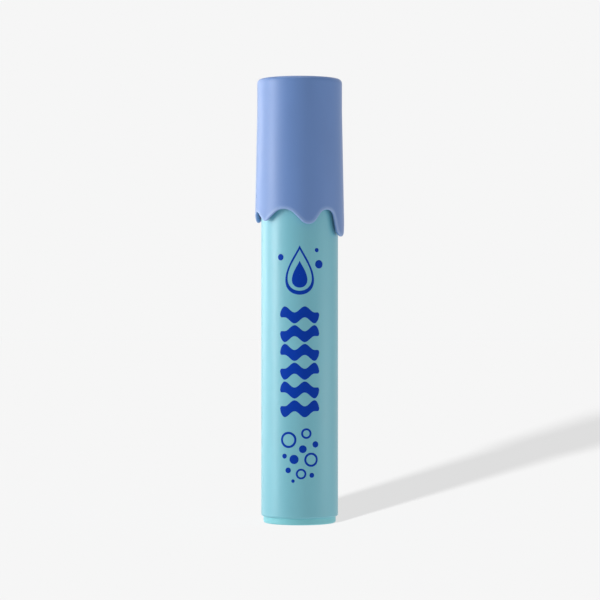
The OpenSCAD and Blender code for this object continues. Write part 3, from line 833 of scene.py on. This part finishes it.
def ink_film(bm, rows, wrap):
    """Adds one closed film of ink through rows of (along, height) points."""
    def lift(row, r):
        return [at_angle(r, s / BARREL_R, z) for s, z in row]

    count = len(rows[0])
    outer = add_rows(bm, [lift(row, BARREL_R + INK_T) for row in rows], wrap=wrap)
    inner = add_rows(bm, [lift(row, BARREL_R - INK_SINK) for row in rows], wrap=wrap)
    for a, b in ((outer[0], inner[0]), (outer[-1], inner[-1])):
        for i in range(count if wrap else count - 1):
            k = (i + 1) % count
            bm.faces.new((a[i], a[k], b[k], b[i]))
    if not wrap:
        for i in (0, -1):
            for a, b, c, d in zip(outer, outer[1:], inner, inner[1:]):
                bm.faces.new((a[i], b[i], d[i], c[i]))


def ink_ring(bm, outline, inner_share):
    """Adds a ring between an outline and itself made smaller, or a filled shape when inner_share is tiny."""
    points = np.array(outline)
    centre = points.mean(0)
    width = np.ptp(points, axis=0).max() / 2 * (1 - inner_share)
    steps = max(1, math.ceil(width / INK_STEP))
    rows = [centre + (points - centre) * (1 - (1 - inner_share) * k / steps) for k in range(steps + 1)]
    ink_film(bm, rows, True)


def circle_outline(s, z, r):
    count = max(20, round(2 * math.pi * r / 0.15))
    turns = [2 * math.pi * k / count for k in range(count)]
    return [(s + r * math.cos(t), z + r * math.sin(t)) for t in turns]


def drop_outline(s, z, half_width, height, count=120):
    """A drop with its point up; z is its middle height."""
    points = []
    for k in range(count):
        t = 2 * math.pi * k / count
        wide = math.sin(t) * math.sin(t / 2) ** DROP_POINT
        points.append((s + half_width * wide / DROP_WIDEST, z + height / 2 * math.cos(t)))
    return points


def wave_bar(bm, z, phase):
    """Adds a wavy bar with round ends, centred on the front's middle line."""
    rows = []
    half = WAVE_HALF
    steps = math.ceil(WAVE_LENGTH / 0.2)
    for i in range(steps + 1):
        s = WAVE_LENGTH * (i / steps - 0.5)
        from_end = WAVE_LENGTH / 2 - abs(s)
        thick = half if from_end > half else math.sqrt(max(0.0, half ** 2 - (half - from_end) ** 2))
        middle = z + WAVE_SWING * math.sin(2 * math.pi * s / WAVE_PITCH + phase)
        rows.append([(s, middle + max(thick, 0.03) * (2 * j / 12 - 1)) for j in range(13)])
    ink_film(bm, rows, False)


DROP_Z = 72.2
# How pointed the drop is, and the largest value that its width formula takes with that
DROP_POINT = 1.4
DROP_WIDEST = 0.81
# Dots round the drop: along, height above its middle, radius
DROP_DOTS = [(-5.6, 3.6, 0.9), (5.7, 1.6, 1.2), (5.0, 5.6, 0.6)]
WAVES_Z = (59.5, 54.2, 48.9, 43.6, 38.3, 33.0)
WAVE_LENGTH = 11.6
WAVE_HALF = 1.55
WAVE_SWING = 0.85
WAVE_PITCH = 5.8
# Bubbles: along, height, radius, and the share of it that is open
BUBBLES = [(-3.2, 24.2, 2.3, 0.72), (1.9, 26.0, 1.5, 0.62), (4.6, 22.9, 0.9, FILLED),
           (0.9, 21.6, 1.1, FILLED), (3.3, 18.6, 2.0, 0.7), (-1.6, 18.7, 1.3, FILLED),
           (-4.4, 19.6, 0.7, FILLED), (0.4, 14.6, 1.5, 0.64), (-3.3, 15.6, 0.8, FILLED),
           (3.5, 14.2, 0.7, FILLED), (-1.9, 12.6, 0.5, FILLED)]


def make_print(m):
    bm = bmesh.new()
    ink_ring(bm, drop_outline(0, DROP_Z, 4.7, 14.0), 0.84)
    ink_ring(bm, drop_outline(0, DROP_Z - 1.2, 2.5, 7.6), FILLED)
    for s, up, r in DROP_DOTS:
        ink_ring(bm, circle_outline(s, DROP_Z + up, r), FILLED)
    new_object("print_drop", finish_mesh("print_drop", bm), m["ink"], BODY_PEN)
    bm = bmesh.new()
    for i, z in enumerate(WAVES_Z):
        wave_bar(bm, z, math.pi * (i % 2))
    new_object("print_waves", finish_mesh("print_waves", bm), m["ink"], BODY_PEN)
    bm = bmesh.new()
    for s, z, r, hole in BUBBLES:
        ink_ring(bm, circle_outline(s, z, r), hole)
    new_object("print_bubbles", finish_mesh("print_bubbles", bm), m["ink"], BODY_PEN)


# Stage and light. The floor and the backdrop look alike, so that no horizon shows.

BACKGROUND = 0.9216
# Share of the world's light that reaches the pen as soft light, and the floor's as its bounce
WORLD_FILL = 0.3
FLOOR_BOUNCE = 0.84
# Side of the studio that is bright in the pen's gloss, and how bright the opposite side is against it
BRIGHT_SIDE = (-0.6, 0.8, 0)
DARK_GLOSS = 0.1
# Where the gloss turns from bright to dark, as the cosine of the angle from the bright side
GLOSS_TURN = (0.85, -0.5)
# Lamp in front on the left that only throws the pen's shadow over the floor: place, size and power,
# and the light that the shadow takes away
SHADOW_LAMP = (-0.138, -0.449, 0.2)
SHADOW_LAMP_R = 0.012
SHADOW_LAMP_W = 60.0
SHADOW_DEPTH = 0.191
FLOOR_ALBEDO_MAX = 0.85

# Soft boxes: name, angle round the pen from the front, height of the middle, distance, width, height
# and power. All of them point at the pen at the height LAMP_AIM_Z.
LAMPS = [("rim_left", -128, 0.12, 0.9, 0.35, 0.9, 4.2),
         ("key_left", -80, 0.12, 0.9, 0.2, 0.8, 7.0),
         ("key_front_left", -58, 0.35, 0.9, 0.3, 0.5, 0.35),
         ("fill_right", 80, 0.03, 0.3, 0.2, 0.06, 0.095),
         ("top_soft", -90, 1.0, 0.08, 0.5, 0.5, 1.8)]
LAMP_AIM_Z = 0.05


def math_node(tree, operation, first, second=None, third=None):
    """A math node; its operands are sockets or numbers."""
    node = tree.nodes.new("ShaderNodeMath")
    node.operation = operation
    for socket, value in zip(node.inputs, (first, second, third)):
        if isinstance(value, bpy.types.NodeSocket):
            tree.links.new(value, socket)
        elif value is not None:
            socket.default_value = value
    return node.outputs[0]


def floor_material():
    """Pale floor that evens out the fall-off of the shadow lamp and is as bright as the backdrop."""
    material = bpy.data.materials.new("floor_paper")
    material.use_nodes = True
    tree = material.node_tree
    tree.nodes.clear()
    place = tree.nodes.new("ShaderNodeTexCoord").outputs["Object"]
    reach = tree.nodes.new("ShaderNodeVectorMath")
    reach.operation = "DISTANCE"
    tree.links.new(place, reach.inputs[0])
    reach.inputs[1].default_value = SHADOW_LAMP
    per_metre = SHADOW_DEPTH * 4 * math.pi ** 2 / (SHADOW_LAMP_W * SHADOW_LAMP[2])
    cubed = math_node(tree, "POWER", reach.outputs["Value"], 3.0)
    albedo = math_node(tree, "MINIMUM", math_node(tree, "MULTIPLY", cubed, per_metre), FLOOR_ALBEDO_MAX)
    scaled = math_node(tree, "MULTIPLY", albedo, SHADOW_DEPTH / per_metre)
    lamp_part = math_node(tree, "DIVIDE", scaled, cubed)
    lit = math_node(tree, "MULTIPLY_ADD", albedo, WORLD_FILL, lamp_part)
    top_up = math_node(tree, "SUBTRACT", BACKGROUND, lit)
    seen = tree.nodes.new("ShaderNodeLightPath").outputs["Is Camera Ray"]
    share = math_node(tree, "MULTIPLY_ADD", seen, 1 - FLOOR_BOUNCE, FLOOR_BOUNCE)
    colour = tree.nodes.new("ShaderNodeCombineColor")
    for channel in colour.inputs[:3]:
        tree.links.new(albedo, channel)
    diffuse = tree.nodes.new("ShaderNodeBsdfDiffuse")
    tree.links.new(colour.outputs[0], diffuse.inputs["Color"])
    glow = tree.nodes.new("ShaderNodeEmission")
    tree.links.new(math_node(tree, "MULTIPLY", top_up, share), glow.inputs["Strength"])
    both = tree.nodes.new("ShaderNodeAddShader")
    tree.links.new(diffuse.outputs[0], both.inputs[0])
    tree.links.new(glow.outputs[0], both.inputs[1])
    out = tree.nodes.new("ShaderNodeOutputMaterial")
    tree.links.new(both.outputs[0], out.inputs["Surface"])
    return material


def make_floor():
    mesh = bpy.data.meshes.new("floor")
    mesh.from_pydata([(x, y, 0) for x, y in ((-3, -3), (3, -3), (3, 3), (-3, 3))], [], [(0, 1, 2, 3)])
    floor = bpy.data.objects.new("floor", mesh)
    bpy.context.scene.collection.objects.link(floor)
    mesh.materials.append(floor_material())
    return floor


def make_world():
    """Backdrop as bright as the photograph's, dim as a light, and in gloss dark in front and on the right."""
    world = bpy.data.worlds.new("studio")
    bpy.context.scene.world = world
    world.use_nodes = True
    tree = world.node_tree
    path = tree.nodes.new("ShaderNodeLightPath")
    towards = tree.nodes.new("ShaderNodeVectorMath")
    towards.operation = "DOT_PRODUCT"
    tree.links.new(tree.nodes.new("ShaderNodeTexCoord").outputs["Generated"], towards.inputs[0])
    towards.inputs[1].default_value = BRIGHT_SIDE
    front = tree.nodes.new("ShaderNodeMapRange")
    front.interpolation_type = "SMOOTHSTEP"
    set_range(front, *GLOSS_TURN, 1.0, DARK_GLOSS)
    tree.links.new(towards.outputs["Value"], front.inputs["Value"])
    glossy = math_node(tree, "MULTIPLY", path.outputs["Is Glossy Ray"], front.outputs["Result"])
    seen = math_node(tree, "MAXIMUM", math_node(tree, "MAXIMUM", path.outputs["Is Camera Ray"], glossy),
                     path.outputs["Is Transmission Ray"])
    strength = math_node(tree, "MULTIPLY_ADD", seen, BACKGROUND - WORLD_FILL, WORLD_FILL)
    tree.links.new(strength, tree.nodes["Background"].inputs["Strength"])
    tree.nodes["Background"].inputs["Color"].default_value = (1, 1, 1, 1)


def link_light(lamp, floor, state):
    """Lights only the floor (INCLUDE), or all but the floor (EXCLUDE)."""
    group = bpy.data.collections.new(lamp.name + "_floor")
    group.objects.link(floor)
    lamp.light_linking.receiver_collection = group
    group.collection_objects[0].light_linking.link_state = state


def make_lamps(floor):
    for name, angle, middle, distance, width, height, power in LAMPS:
        data = bpy.data.lights.new(name, "AREA")
        data.shape = "RECTANGLE"
        data.size, data.size_y, data.energy = width, height, power
        lamp = bpy.data.objects.new(name, data)
        lamp.location = at_angle(distance, math.radians(angle), middle)
        towards = Vector((0, 0, LAMP_AIM_Z)) - lamp.location
        lamp.rotation_euler = towards.to_track_quat("-Z", "Y").to_euler()
        lamp.visible_camera = False
        bpy.context.scene.collection.objects.link(lamp)
        link_light(lamp, floor, "EXCLUDE")
    data = bpy.data.lights.new("shadow_lamp", "POINT")
    data.energy, data.shadow_soft_size = SHADOW_LAMP_W, SHADOW_LAMP_R
    lamp = bpy.data.objects.new("shadow_lamp", data)
    lamp.location = SHADOW_LAMP
    lamp.visible_camera = False
    bpy.context.scene.collection.objects.link(lamp)
    link_light(lamp, floor, "INCLUDE")


make_camera()
materials = make_materials()
make_cap_shell(materials)
make_barrel(materials)
make_plug(materials)
make_collar(materials)
make_nib(materials)
make_liner(materials)
make_inner_seal(materials)
make_spring(materials)
make_cushion(materials)
make_print(materials)
dress_kept_nodes(materials)
make_lamps(make_floor())
make_world()
bpy.context.scene.view_settings.view_transform = "Standard"
